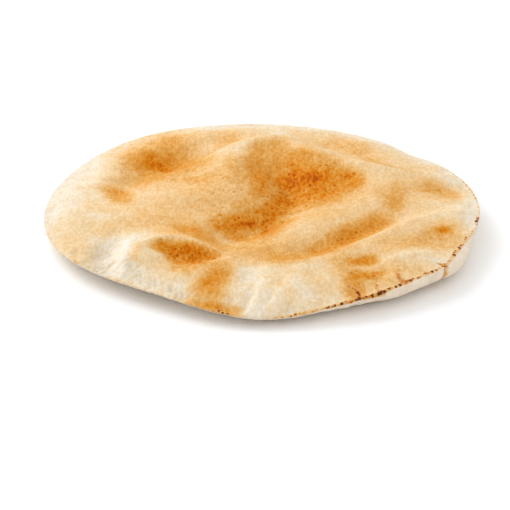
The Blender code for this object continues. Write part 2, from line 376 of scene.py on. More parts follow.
BROWNED = {  # 0 is pale dough, 1 is deep brown; inside the arch and behind the back crest it also paints shade
    "middle": Stroke(
        0.43, 0.40, 0.40, 4.0, ((-0.36, 0.20, 0.9), (0.0, 0.15, 1.0), (0.40, 0.06, 0.9))
    ),
    "before the middle": Stroke(
        0.52, 0.20, 0.20, 3.0,
        ((-0.50, -0.12, 0.8), (-0.26, -0.28, 1.0), (-0.08, -0.44, 0.92), (0.16, -0.42, 0.85),
         (0.42, -0.34, 0.9)),
    ),
    "left side": Stroke(
        0.14, 0.20, 0.22, 3.0, ((-0.78, -0.20, 0.9), (-0.72, -0.02, 1.0), (-0.68, 0.20, 0.8))
    ),
    "back": Stroke(
        0.36, 0.20, 0.24, 3.0,
        ((-0.50, 0.72, 1.0), (-0.10, 0.74, 0.8), (0.08, 0.76, 0.5), (0.30, 0.74, 1.0),
         (0.56, 0.52, 0.8), (0.82, 0.28, 0.7)),
    ),
    "right side": Stroke(
        0.40, 0.18, 0.18, 3.0, ((0.60, 0.12, 1.0), (0.74, 0.14, 1.0), (0.86, 0.14, 1.0))
    ),
    "front right slope": Stroke(
        0.52, 0.13, 0.13, 3.0, ((0.38, -0.56, 0.9), (0.42, -0.72, 1.0), (0.54, -0.68, 0.9))
    ),
    "front slope": Stroke(
        0.17, 0.20, 0.16, 3.0, ((-0.20, -0.78, 0.7), (0.10, -0.78, 1.0), (0.30, -0.74, 1.3))
    ),
    "front slope's patch": Stroke(
        0.30, 0.06, 0.07, 2.4, ((0.12, -0.66, 0.9), (0.22, -0.70, 1.0), (0.28, -0.80, 0.9))
    ),
    "front bulge": Stroke(
        0.20, 0.09, 0.09, 2.6, ((-0.58, -0.50, 0.8), (-0.50, -0.58, 1.0), (-0.40, -0.68, 1.0))
    ),
    # Painted shade: a tan patch on the shaded inner side of the arch's edge.
    "inside the arch": Stroke(
        0.36, 0.030, 0.035, 2.2, ((-0.545, -0.43, 0.8), (-0.560, -0.50, 1.0), (-0.570, -0.58, 0.8))
    ),
    "right brow": Stroke(
        0.34, 0.09, 0.09, 2.6, ((0.56, -0.62, 1.0), (0.66, -0.66, 1.0), (0.78, -0.50, 0.7))
    ),
    "trough": Stroke(
        0.66, 0.20, 0.20, 3.6, ((-0.55, 0.46, 1.0), (-0.48, 0.56, 1.0), (-0.46, 0.66, 0.9))
    ),
    "trough's heart": Stroke(
        0.71, 0.12, 0.12, 3.2, ((-0.60, 0.53, 0.95), (-0.52, 0.51, 1.0), (-0.44, 0.53, 1.0))
    ),
    "trough's spot": Stroke(
        0.86, 0.055, 0.05, 2.4,
        (
         (-0.572, 0.565, 0.7), (-0.545, 0.52, 1.0), (-0.505, 0.50, 1.0), (-0.455, 0.50, 0.9)),
    ),
    "trough's shore": Stroke(
        0.56, 0.13, 0.13, 2.6,
        ((-0.64, 0.32, 0.9), (-0.48, 0.36, 1.0), (-0.35, 0.42, 1.1), (-0.31, 0.54, 1.1)),
    ),
    "trough's back": Stroke(
        0.72, 0.14, 0.13, 2.6,
        ((-0.67, 0.61, 0.9), (-0.60, 0.71, 1.0), (-0.51, 0.76, 0.85), (-0.43, 0.76, 0.6)),
    ),
    "left spot": Stroke(
        0.68, 0.09, 0.08, 2.6, ((-0.71, 0.20, 0.9), (-0.675, 0.15, 1.0), (-0.65, 0.04, 0.8))
    ),
    "mound's right slope": Stroke(
        0.48, 0.12, 0.14, 2.8,
        ((-0.10, 0.44, 0.9), (-0.12, 0.24, 1.0), (-0.16, 0.08, 0.9), (-0.30, -0.08, 0.9)),
    ),
    "basin": Stroke(
        0.80, 0.20, 0.19, 3.6,
        ((0.08, 0.42, 0.95), (0.17, 0.33, 1.0), (0.27, 0.26, 1.0), (0.36, 0.24, 0.95)),
    ),
    "basin's heart": Stroke(
        0.92, 0.09, 0.10, 2.8, ((0.11, 0.33, 0.9), (0.20, 0.30, 1.0), (0.28, 0.29, 0.9))
    ),
    "basin's spot": Stroke(
        1.0, 0.028, 0.030, 2.0, ((0.235, 0.295, 0.9), (0.255, 0.295, 1.0), (0.27, 0.28, 0.9))
    ),
    "basin's foot": Stroke(
        0.86, 0.08, 0.09, 2.8,
        ((0.11, 0.20, 1.0), (0.16, 0.15, 1.0), (0.26, 0.16, 0.9), (0.33, 0.14, 1.0)),
    ),
    "basin's end": Stroke(
        0.84, 0.07, 0.08, 2.8, ((0.40, 0.30, 1.0), (0.44, 0.27, 1.0), (0.44, 0.20, 0.9))
    ),
    "basin's left bank": Stroke(
        0.68, 0.08, 0.09, 3.0,
        ((0.11, 0.59, 0.8), (0.0, 0.56, 0.95), (-0.02, 0.36, 1.0), (0.01, 0.16, 1.0)),
    ),
    "valley": Stroke(
        0.88, 0.07, 0.09, 3.0,
        ((0.11, 0.14, 1.0), (0.07, 0.05, 1.0), (0.0, -0.04, 1.0), (-0.10, -0.11, 1.0),
         (-0.20, -0.14, 0.9)),
    ),
    "valley's bank": Stroke(
        0.72, 0.12, 0.11, 3.0, ((0.08, -0.06, 1.0), (0.04, -0.14, 1.0), (-0.04, -0.20, 0.95))
    ),
    "valley's far bank": Stroke(
        0.62, 0.09, 0.10, 2.8, ((0.09, -0.21, 0.9), (0.0, -0.30, 0.9), (-0.08, -0.29, 0.9))
    ),
    "valley's lower bank": Stroke(
        0.77, 0.07, 0.07, 2.8, ((-0.21, -0.16, 0.9), (-0.12, -0.20, 1.0), (-0.05, -0.25, 0.9))
    ),
    "below the basin": Stroke(
        0.62, 0.07, 0.07, 2.8, ((0.13, 0.06, 0.9), (0.22, 0.05, 1.0), (0.34, 0.07, 0.9))
    ),
    "behind the basin": Stroke(
        0.60, 0.07, 0.07, 2.8, ((0.18, 0.52, 0.9), (0.26, 0.47, 1.0), (0.36, 0.42, 0.9))
    ),
    "mound's far foot": Stroke(
        0.58, 0.08, 0.09, 2.8, ((-0.44, 0.30, 0.8), (-0.34, 0.28, 1.0), (-0.26, 0.24, 0.8))
    ),
    "mound's foot": Stroke(
        0.62, 0.06, 0.06, 2.8, ((-0.02, 0.14, 0.9), (-0.05, 0.07, 1.0), (-0.12, 0.0, 0.9))
    ),
    "right ridge's crest": Stroke(
        0.40, 0.09, 0.09, 2.8,
        ((0.46, -0.42, 0.8), (0.56, -0.32, 0.9), (0.66, -0.24, 1.0), (0.75, -0.19, 0.9)),
    ),
    # Browning together with a painted shade line just behind the back crest.
    "behind the back crest": Stroke(
        0.56, 0.028, 0.012, 2.0,
        ((-0.30, 0.59, 0.7), (-0.20, 0.60, 1.0), (-0.12, 0.635, 0.8), (-0.03, 0.665, 0.4),
         (0.16, 0.635, 0.4), (0.28, 0.525, 0.9), (0.41, 0.445, 1.0), (0.53, 0.390, 1.0),
         (0.66, 0.337, 0.9), (0.74, 0.32, 0.7)),
    ),
    "left shoulder": Stroke(
        0.36, 0.09, 0.07, 2.6, ((-0.80, -0.01, 0.9), (-0.70, -0.04, 1.0), (-0.58, -0.03, 0.9))
    ),
    "left foot": Stroke(
        0.25, 0.09, 0.12, 2.6, ((-0.86, -0.30, 0.7), (-0.83, -0.38, 1.0), (-0.80, -0.48, 0.9))
    ),
    "behind the right ridge": Stroke(
        0.30, 0.10, 0.10, 2.6, ((0.68, -0.12, 1.0), (0.76, -0.08, 1.0), (0.86, -0.06, 0.8))
    ),
    "valley's foot": Stroke(
        0.60, 0.10, 0.10, 2.8, ((-0.38, -0.22, 0.9), (-0.27, -0.28, 1.0), (-0.21, -0.37, 1.0))
    ),
    "dent": Stroke(
        0.92, 0.06, 0.06, 2.8,
        ((-0.47, -0.45, 0.9), (-0.39, -0.45, 1.0), (-0.30, -0.47, 1.0), (-0.22, -0.495, 0.9)),
    ),
    "dent's floor": Stroke(
        0.88, 0.07, 0.07, 3.0, ((-0.39, -0.50, 0.8), (-0.35, -0.53, 1.0), (-0.29, -0.53, 0.9))
    ),
    "dent's brim": Stroke(
        0.60, 0.10, 0.10, 3.0, ((-0.37, -0.52, 0.9), (-0.33, -0.60, 1.0), (-0.24, -0.56, 1.0))
    ),
    "knob": Stroke(
        0.72, 0.09, 0.09, 2.8,
        ((-0.17, -0.60, 0.8), (-0.20, -0.70, 1.0), (-0.24, -0.77, 1.0), (-0.22, -0.85, 0.8)),
    ),
    "knob's spot": Stroke(
        0.82, 0.035, 0.035, 2.0, ((-0.25, -0.73, 1.0), (-0.25, -0.75, 1.0), (-0.24, -0.77, 0.8))
    ),
    "front edge": Stroke(
        0.75, 0.05, 0.05, 2.4, ((-0.32, -0.88, 0.7), (-0.22, -0.915, 1.0), (-0.12, -0.95, 0.8))
    ),
    "right valley": Stroke(
        0.71, 0.10, 0.10, 3.2,
        ((0.23, -0.46, 0.9), (0.32, -0.39, 1.0), (0.40, -0.29, 1.0), (0.49, -0.22, 0.88),
         (0.56, -0.14, 0.94)),
    ),
    "right valley's start": Stroke(
        0.62, 0.09, 0.09, 2.8, ((0.04, -0.53, 0.9), (0.10, -0.54, 1.0), (0.17, -0.52, 1.0))
    ),
    "right valley's end": Stroke(
        0.52, 0.08, 0.07, 2.8, ((0.61, -0.04, 1.0), (0.63, 0.08, 1.0), (0.66, 0.20, 0.85))
    ),
    "edge hollow": Stroke(
        0.62, 0.09, 0.08, 2.8, ((0.74, 0.18, 0.9), (0.81, 0.20, 1.0), (0.90, 0.12, 0.85))
    ),
    "right dent": Stroke(
        0.78, 0.055, 0.055, 2.8, ((0.40, -0.58, 0.95), (0.45, -0.56, 1.0), (0.49, -0.54, 1.0))
    ),
    "under the right dent": Stroke(
        0.76, 0.05, 0.05, 2.8, ((0.40, -0.70, 0.95), (0.46, -0.69, 1.0), (0.52, -0.67, 0.95))
    ),
    "down from the right dent": Stroke(
        0.68, 0.07, 0.07, 2.8, ((0.40, -0.72, 1.0), (0.40, -0.80, 1.0), (0.42, -0.86, 0.9))
    ),
    "right spot": Stroke(
        1.0, 0.045, 0.045, 2.0, ((0.81, -0.30, 0.9), (0.825, -0.295, 1.0), (0.84, -0.28, 0.8))
    ),
    "round the right spot": Stroke(
        0.56, 0.09, 0.10, 2.8, ((0.74, -0.36, 0.9), (0.79, -0.31, 1.0), (0.85, -0.24, 0.9))
    ),
    "right ridge's side": Stroke(
        0.49, 0.10, 0.10, 2.8,
        ((0.52, -0.46, 0.9), (0.68, -0.40, 1.0), (0.82, -0.40, 0.8), (0.86, -0.28, 1.0)),
    ),
    "back hollow": Stroke(
        0.46, 0.12, 0.10, 2.8, ((0.33, 0.70, 1.0), (0.40, 0.74, 1.0), (0.50, 0.64, 0.9))
    ),
    "behind the right crest": Stroke(
        0.50, 0.09, 0.10, 2.8, ((0.52, 0.56, 0.9), (0.54, 0.48, 1.0), (0.56, 0.42, 1.0))
    ),
    "back left": Stroke(
        0.48, 0.09, 0.10, 2.6, ((-0.20, 0.84, 0.9), (-0.16, 0.76, 1.0), (-0.19, 0.64, 0.9))
    ),
    "left ridge": Stroke(
        0.30, 0.09, 0.09, 2.4, ((-0.74, -0.22, 0.9), (-0.66, -0.18, 1.0), (-0.56, -0.18, 0.9))
    ),
}
PALE = {  # 1 is white with flour; on the arch flank and the back crest the white also paints a highlight
    # Flour and a painted highlight: the lit flank of the arch painted near white.
    "arch flank": Stroke(
        0.95, 0.030, 0.060, 2.4,
        ((-0.53, -0.27, 0.6), (-0.60, -0.38, 1.0), (-0.617, -0.50, 1.0), (-0.622, -0.66, 1.0)),
    ),
    "left hollow": Stroke(
        0.80, 0.06, 0.07, 2.8, ((-0.66, -0.36, 0.9), (-0.69, -0.48, 1.0), (-0.70, -0.58, 1.0))
    ),
    "front bulge": Stroke(
        0.45, 0.05, 0.05, 2.4, ((-0.54, -0.63, 1.0), (-0.48, -0.68, 0.9), (-0.36, -0.76, 0.9))
    ),
    "front slope": Stroke(
        0.70, 0.06, 0.07, 2.6, ((-0.06, -0.66, 0.9), (-0.03, -0.80, 1.0), (0.06, -0.87, 0.9))
    ),
    "front slope's pleat": Stroke(
        0.55, 0.04, 0.04, 2.4, ((0.16, -0.66, 0.9), (0.15, -0.78, 0.9), (0.22, -0.87, 1.0))
    ),
    "back pleats": Stroke(
        0.75, 0.060, 0.050, 2.6, ((0.07, 0.70, 0.8), (0.10, 0.79, 1.0), (0.10, 0.90, 1.0))
    ),
    "arch crest": Stroke(
        0.22, 0.035, 0.030, 2.2,
        ((-0.58, -0.31, 1.0), (-0.52, -0.26, 0.7), (-0.41, -0.28, 0.2), (-0.25, -0.43, 0.1)),
    ),
    # Flour and a painted highlight: a thin pale line painted along the lit back crest.
    "back crest": Stroke(
        0.18, 0.010, 0.024, 2.2,
        ((-0.28, 0.56, 0.6), (-0.20, 0.572, 1.0), (-0.10, 0.612, 1.0), (-0.01, 0.64, 1.0),
         (0.08, 0.648, 1.0), (0.145, 0.608, 1.0), (0.26, 0.505, 1.0), (0.40, 0.420, 1.0),
         (0.52, 0.368, 1.0), (0.65, 0.324, 1.1), (0.74, 0.316, 1.3), (0.82, 0.310, 1.5),
         (0.90, 0.270, 1.5)),
    ),
    "right brow": Stroke(
        0.75, 0.04, 0.04, 2.4, ((0.70, -0.56, 0.6), (0.75, -0.575, 1.0), (0.79, -0.59, 1.0))
    ),
    "edge ridge's crest": Stroke(
        0.55, 0.025, 0.035, 2.2, ((0.76, 0.04, 0.4), (0.84, -0.005, 0.9), (0.94, -0.045, 1.0))
    ),
    "between the right ridges": Stroke(
        0.50, 0.045, 0.040, 2.4, ((0.78, -0.09, 0.5), (0.86, -0.085, 1.0), (0.94, -0.12, 1.0))
    ),
    "right ridge's crest": Stroke(
        0.30, 0.020, 0.030, 2.2,
        ((0.44, -0.42, 0.5), (0.58, -0.29, 1.0), (0.68, -0.20, 1.0), (0.78, -0.115, 1.0)),
    ),
    "before the right rim": Stroke(
        0.55, 0.06, 0.05, 2.4, ((0.93, 0.24, 1.0), (0.88, 0.30, 1.0), (0.80, 0.36, 0.8))
    ),
    "right rim": Stroke(
        0.65, 0.06, 0.05, 2.6,
        ((0.95, -0.28, 0.8), (0.98, -0.10, 1.0), (1.00, 0.08, 1.0), (0.98, 0.24, 0.9)),
    ),
    "left rim": Stroke(
        0.75, 0.07, 0.14, 2.8,
        ((-0.99, -0.08, 0.6), (-0.97, 0.14, 1.0), (-0.92, 0.40, 1.0), (-0.80, 0.64, 1.0),
         (-0.60, 0.84, 0.8)),
    ),
    "back rim": Stroke(
        0.80, 0.07, 0.07, 2.8,
        ((-0.34, 0.97, 0.6), (0.0, 1.0, 1.0), (0.34, 0.94, 1.0), (0.62, 0.80, 1.0),
         (0.84, 0.60, 1.0), (0.97, 0.32, 0.8)),
    ),
}

COARSE = {  # 1 is skin with coarse browning and many pits
    "middle": Stroke(
        0.90, 0.26, 0.26, 4.0,
        ((0.30, 0.34, 1.0), (0.22, 0.24, 1.0), (0.08, 0.06, 0.9), (-0.10, -0.12, 0.9)),
    ),
    "mound's side": Stroke(
        0.75, 0.16, 0.16, 3.0, ((-0.08, 0.36, 1.0), (-0.14, 0.20, 1.0), (-0.18, 0.04, 1.0))
    ),
    "dent": Stroke(
        1.25, 0.12, 0.12, 3.0, ((-0.42, -0.46, 1.0), (-0.32, -0.50, 1.0), (-0.22, -0.52, 0.9))
    ),
    "right valley": Stroke(
        0.65, 0.14, 0.14, 3.0, ((0.20, -0.46, 1.0), (0.40, -0.30, 1.0), (0.56, -0.16, 1.0))
    ),
    "front right": Stroke(
        0.80, 0.16, 0.16, 3.0, ((0.44, -0.60, 1.0), (0.46, -0.74, 1.0), (0.60, -0.62, 0.8))
    ),
    "elsewhere": Stroke(0.45, 3.0, 3.0, 8.0, ((-0.1, 0.0, 1.0), (0.0, 0.0, 1.0), (0.1, 0.0, 1.0))),
}

SCORCHED = {  # small cracks that are toasted like the seam
    "right hook": Stroke(
        0.85, 0.010, 0.010, 2.0,
        ((0.376, -0.784, 0.6), (0.405, -0.80, 0.9), (0.423, -0.84, 1.0), (0.42, -0.88, 1.0)),
    ),
    "right slit": Stroke(
        0.55, 0.009, 0.009, 2.0,
        ((0.505, -0.756, 0.7), (0.501, -0.784, 1.0), (0.511, -0.82, 0.9), (0.52, -0.84, 1.0)),
    ),
    "right slit's neighbour": Stroke(
        0.70, 0.009, 0.009, 2.0,
        ((0.600, -0.674, 0.8), (0.604, -0.71, 1.0), (0.61, -0.745, 0.9), (0.64, -0.75, 1.0)),
    ),
    "short mark": Stroke(
        0.70, 0.009, 0.009, 2.0, ((0.615, -0.728, 0.8), (0.637, -0.739, 1.0), (0.66, -0.732, 0.9))
    ),
    "notch": Stroke(
        0.50, 0.008, 0.008, 2.0,
        ((0.772, -0.592, 0.5), (0.798, -0.603, 0.9), (0.815, -0.618, 1.0), (0.83, -0.632, 0.9)),
    ),
    "left tuck": Stroke(
        0.15, 0.014, 0.014, 2.0,
        ((-0.81, -0.345, 0.6), (-0.826, -0.396, 1.0), (-0.847, -0.43, 1.0), (-0.86, -0.47, 0.8)),
    ),
    "left nick": Stroke(
        0.20, 0.014, 0.014, 2.0, ((-0.83, -0.47, 0.8), (-0.84, -0.50, 1.0), (-0.82, -0.53, 0.8))
    ),
    "knob crack": Stroke(
        0.20, 0.012, 0.012, 2.0, ((-0.27, -0.80, 0.6), (-0.262, -0.84, 1.0), (-0.25, -0.88, 1.0))
    ),
}

# Fineness of the mesh and of the paths.
RINGS = 108  # rings of points from the middle of a face to the seam
TOP_CROWDING = 1.25  # 1 spaces the rings evenly, more crowds them towards the seam
UNDER_CROWDING = 1.3
PATH_STEP = 0.02  # length of the straight steps of a path
BLEND = 8  # how tightly the steps of one stroke blend into each other


def along_rim(angle, swells):
    """The sum of the swells at each angle."""
    total = np.zeros_like(angle)
    for swell in swells:
        away = np.angle(np.exp(1j * (angle - math.radians(swell.direction))))
        total += swell.change * np.exp(-((away / math.radians(swell.spread)) ** 2))
    return total


def outline_radius(angle):
    return RADIUS * (1 + along_rim(angle, BULGES))


def seam_height(angle):
    return SEAM_HEIGHT + along_rim(angle, LIFTS)


def edge_height(angle):
    """Height of the outline, which lies lower than a seam that is set inboard."""
    return seam_height(angle) - SIDE_FALL * along_rim(angle, INBOARD)


def smooth_path(points):
    """The points joined by a Catmull-Rom curve, in short straight steps."""
    knots = np.array(points)
    padded = np.vstack([2 * knots[0] - knots[1], knots, 2 * knots[-1] - knots[-2]])
    made = []
    for i in range(len(knots) - 1):
        before, start, end, after = padded[i : i + 4]
        steps = math.ceil(math.dist(start[:2], end[:2]) / PATH_STEP)
        for t in np.arange(steps) / steps:
            slope = (end - before) * t
            bend = (2 * before - 5 * start + 4 * end - after) * t**2
            twist = (3 * start - before - 3 * end + after) * t**3
            made.append(start + (slope + bend + twist) / 2)
    return np.array([*made, knots[-1]])


def laid_stroke(x, y, stroke):
    """What one stroke adds at x and y, in shares of RADIUS. Its steps blend softly."""
    path = smooth_path(stroke.path)
    total = np.zeros_like(x)
    for start, end in zip(path[:-1], path[1:]):
        dx, dy = (end - start)[:2]
        middle_x, middle_y, share = (start + end) / 2
        length = math.hypot(dx, dy)
        off_x, off_y = x - middle_x, y - middle_y
        distance = np.hypot(off_x, off_y) + 1e-9
        side = (dx * off_y - dy * off_x) / (length * distance)
        width = (stroke.left * (1 + side) + stroke.right * (1 - side)) / 2
        height = max(share, 0) * np.exp(-((distance / width) ** stroke.flank))
        total += height**BLEND * length / width
    return stroke.amount * total ** (1 / BLEND)


def laid(x, y, strokes):
    """The sum of the strokes at x and y, in metres."""
    return sum(laid_stroke(x / RADIUS, y / RADIUS, stroke) for stroke in strokes.values())


def strongest(x, y, strokes):
    """The strongest of the strokes at x and y, with soft joins between them."""
    levels = (laid_stroke(x / RADIUS, y / RADIUS, stroke) for stroke in strokes.values())
    return sum(level**5 for level in levels) ** (1 / 5)


def eased(value, low, high):
    """0 below low, 1 above high and smooth in between."""
    t = np.clip((value - low) / (high - low), 0, 1)
    return t * t * (3 - 2 * t)


def waves(x, y, pitch, seed):
    """Soft random waves about a pitch apart, mostly between -1 and 1."""
    chance = np.random.default_rng(seed)
    total = np.zeros_like(x)
    for _ in range(30):
        heading, phase = chance.uniform(0, 2 * math.pi, 2)
        count = 2 * math.pi * chance.uniform(0.7, 1.4) / pitch
        total += np.cos((x * math.cos(heading) + y * math.sin(heading)) * count + phase)
    return total / math.sqrt(30)


def rim_waves(angle, pitch, seed):
    """The same along the rim."""
    return waves(RADIUS * np.cos(angle), RADIUS * np.sin(angle), pitch, seed)


def blisters(x, y, count, seed):
    """Small domes where steam lifted the skin, from 0 to 1."""
    chance = np.random.default_rng(seed)
    total = np.zeros_like(x)
    for _ in range(count):
        reach, turn = math.sqrt(chance.uniform()), chance.uniform(0, 2 * math.pi)
        wide = chance.uniform(0.0012, 0.0034)
        lift = chance.uniform(0.3, 1.0)
        away_x = x - RADIUS * reach * math.cos(turn)
        away_y = y - RADIUS * reach * math.sin(turn)
        near = np.nonzero(abs(away_x) + abs(away_y) < 3 * wide)[0]
        span = (away_x[near] ** 2 + away_y[near] ** 2) / wide**2
        total[near] = np.maximum(total[near], lift * np.exp(-span))
    return total


# ---- The crust -----------------------------------------------------------------------------


def seam_inside(x, y, angle):
    """How far a point lies inside the seam, in metres."""
    return outline_radius(angle) - np.hypot(x, y) - along_rim(angle, INBOARD)


def nibble(angle):
    """How far the crisp edge is broken back from the outline, in metres."""
    ragged = 0.00030 * (1 + rim_waves(angle, 0.009, 11)) + 0.00022 * rim_waves(angle, 0.0035, 12)
    stepped = eased(along_rim(angle, INBOARD), 0.0004, 0.0022)
    ragged = np.clip(ragged, 0, 0.0014) * (1 - 0.8 * stepped) * (0.3 + along_rim(angle, RAGGED))
    return ragged + along_rim(angle, NICKS)


def wrinkled(x, y, outward, angle):
    """Small wrinkles that run down to the rim, in metres below the skin."""
    drift = 0.05 * waves(x, y, 0.035, 21)
    line = rim_waves(angle + drift * (1 - outward), 0.011, 22)
    finer = rim_waves(angle - drift * (1 - outward), 0.0055, 23)
    folds = np.exp(-((line / 0.30) ** 2)) + 0.5 * np.exp(-((finer / 0.35) ** 2))
    broken = eased(waves(x, y, 0.014, 24), -0.5, 0.7)
    zone = eased(outward, 0.74, 0.93)
    return 0.00042 * folds * broken * zone * (0.12 + along_rim(angle, PUCKERED))


def small_relief(x, y, outward, angle):
    """Height of the wrinkles and of the crisp crests over the smooth folds, in metres."""
    return eased(1 - outward, 0, 0.01) * laid(x, y, WRINKLES) - wrinkled(x, y, outward, angle)


def top_height(x, y, outward, angle):
    """Height of the top layer. outward goes from 0 in the middle to 1 at the seam."""
    inward = 1 - outward
    seam = seam_height(angle) + LIP / 2
    shoulder = 1 - np.clip(1 - inward / SHOULDER, 0, 1) ** SHOULDER_POWER
    calm = eased(inward, 0, CALM_EDGE)
    height = seam + (CROWN - seam) * shoulder + calm * laid(x, y, FOLDS)
    skin = eased(inward, 0, 0.04)
    height += skin * (0.00035 * waves(x, y, 0.030, 1) + 0.00011 * waves(x, y, 0.012, 2))
    height += skin * (0.00004 * waves(x, y, 0.0048, 3) + 0.00014 * blisters(x, y, 420, 4))
    height += small_relief(x, y, outward, angle)
    inside = seam_inside(x, y, angle)
    crisp = np.exp(-(((inside - 0.0008) / 0.0009) ** 2))
    crumbs = np.clip(0.55 + 0.6 * rim_waves(angle, 0.0042, 31), 0, 1.4)
    height += 0.00050 * crisp * crumbs * (0.25 + along_rim(angle, TOASTED))
    return height - SIDE_FALL * np.maximum(-inside, 0)


def under_height(x, y, outward, angle):
    """Height of the underside: flat in the middle, then up a rounded side to the seam."""
    undercut = along_rim(angle, UNDERCUTS)
    rounded = np.clip(1 - (1 - outward) / (SIDE_REACH + undercut), 0, 1)
    power = 2 - 2.8 * undercut  # 2 is a round side, 1 would be a straight slope
    height = (edge_height(angle) - LIP / 2) * (1 - (1 - rounded**power) ** (1 / power))
    skin = eased(1 - outward, 0, 0.03)
    lift = 0.00035 + 0.0003 * waves(x, y, 0.030, 41) + 0.00012 * waves(x, y, 0.010, 42)
    return height + skin * np.clip(lift, 0, 0.0012)


def to_round(u, v, crowding):
    """Where the points u, v of a square grid go on the round, as outward and angle.

    The square's rings become round ones, so the grid has no pinched middle.
    """
    ring = np.maximum(abs(u), abs(v))
    wide = abs(u) >= abs(v)
    main, minor = np.where(wide, u, v), np.where(wide, v, u)
    turn = math.pi / 4 * np.divide(minor, main, out=np.zeros_like(u), where=main != 0)
    angle = np.where(wide, turn, math.pi / 2 - turn) + np.where(main < 0, math.pi, 0)
    return 1 - (1 - ring) ** crowding, angle


def face_points(crowding, inset):
    """The places of one face's points, before their height is known."""
    steps = np.linspace(-1, 1, 2 * RINGS + 1)
    v, u = np.meshgrid(steps, steps, indexing="ij")
    outward, angle = to_round(u.ravel(), v.ravel(), crowding)
    stepped = eased(along_rim(angle, INBOARD), 0.0004, 0.0022)
    back = nibble(angle) + inset * (1 - stepped)
    radius = outward * outline_radius(angle) - back * eased(outward, 0.9, 1)
    return radius * np.cos(angle), radius * np.sin(angle), outward, angle


def grid_faces(first, flip):
    """The quads of one face's grid, whose points start at number first."""
    side = 2 * RINGS + 1
    number = first + np.arange(side * side).reshape(side, side)
    quads = [number[:-1, :-1], number[:-1, 1:], number[1:, 1:], number[1:, :-1]]
    quads = np.stack(quads, axis=-1).reshape(-1, 4)
    return quads[:, ::-1] if flip else quads


def border(first):
    """The numbers of the grid's outer points, once round."""
    side = 2 * RINGS + 1
    number = first + np.arange(side * side).reshape(side, side)
    return np.concatenate(
        [number[0, :-1], number[:-1, -1], number[-1, :0:-1], number[:0:-1, 0]]
    )


LIP_ROWS = (  # outward and up from the middle of the seam in metres, for a crisp and a round edge
    ((0.0, 0.00055), (0.00005, 0.0004)),
    ((0.0, 0.00025), (0.00015, 0.0001)),
    ((-0.0005, -0.0001), (0.00015, -0.0002)),
    ((-0.0010, -0.0004), (0.0001, -0.0005)),
)
LIP_INSET = 0.0014  # how far the underside stays back from a crisp edge, in metres


def crust_mesh():
    """Both faces and the rows of the lip between them, as one closed mesh."""
    x, y, outward, angle = face_points(TOP_CROWDING, 0)
    top = np.stack([x, y, top_height(x, y, outward, angle)], axis=-1)
    low_x, low_y, low_outward, low_angle = face_points(UNDER_CROWDING, LIP_INSET)
    low = np.stack([low_x, low_y, under_height(low_x, low_y, low_outward, low_angle)], axis=-1)
    rim = border(0)
    turn = angle[rim]
    stepped = eased(along_rim(turn, INBOARD), 0.0004, 0.0022)
    rows = []
    for crisp, round_edge in LIP_ROWS:
        out = crisp[0] * (1 - stepped) + round_edge[0] * stepped
        up = crisp[1] * (1 - stepped) + round_edge[1] * stepped
        radius = outline_radius(turn) - nibble(turn) + out + 0.00015 * rim_waves(turn, 0.004, 51)
        height = seam_height(turn) + up
        height -= SIDE_FALL * np.maximum(along_rim(turn, INBOARD) - nibble(turn), 0)
        rows.append(np.stack([radius * np.cos(turn), radius * np.sin(turn), height], axis=-1))
    points = np.concatenate([top, *rows, low])
    count, lip = len(top), len(rim)
    loops = [rim, *(count + lip * i + np.arange(lip) for i in range(len(rows)))]
    loops.append(border(count + lip * len(rows)))
    strips = []
    for upper, lower in zip(loops[:-1], loops[1:]):
        strips.append(np.stack([upper, lower, np.roll(lower, -1), np.roll(upper, -1)], axis=-1))
    faces = [grid_faces(0, False), *strips, grid_faces(count + lip * len(rows), True)]
    parts = (count, lip, len(rows), strips)
    places = (
        np.concatenate([outward, *([np.ones(lip)] * len(rows)), low_outward]),
        np.concatenate([angle, *([turn] * len(rows)), low_angle]),
    )
    return points, np.concatenate(faces), places, parts


def fitted(points):
    """The points, stretched by a hair so that their box is the solid's own."""
    low, high = points.min(axis=0), points.max(axis=0)
    room_low, room_high = np.array(LOWEST), np.array(HIGHEST)
    return room_low + (points - low) * (room_high - room_low) / (high - low)


def lay_map(mesh, faces, outward, angle, parts):
    """Lays the top with its lip and the underside flat on the map that finishes are kept on."""
    count, lip, rows, strips = parts
    upper_faces = len(grid_faces(0, False)) + len(strips) * lip
    spread = np.where(np.arange(len(outward)) < count, 0.95 * outward, outward)
    for i in range(rows):
        spread[count + lip * i : count + lip * (i + 1)] = 0.95 + 0.05 * (i + 1) / (rows + 1)
    corners = faces.ravel()
    is_top = np.repeat(np.arange(len(faces)) < upper_faces, 4)
    size = np.where(is_top, 0.355, 0.215)
    middle = np.where(is_top, 0.362, 0.779)
    places = np.stack(
        [
            middle + size * spread[corners] * np.cos(angle[corners]),
            middle + size * spread[corners] * np.sin(angle[corners]),
        ],
        axis=-1,
    )
    layer = mesh.uv_layers.new(name="OFBake")
    layer.data.foreach_set("uv", places.ravel())


def keep(mesh, name, values):
    """Keeps one value or one vector for each point of the mesh."""
    kind, key = ("FLOAT", "value") if values.ndim == 1 else ("FLOAT_VECTOR", "vector")
    mesh.attributes.new(name, kind, "POINT").data.foreach_set(key, values.ravel())


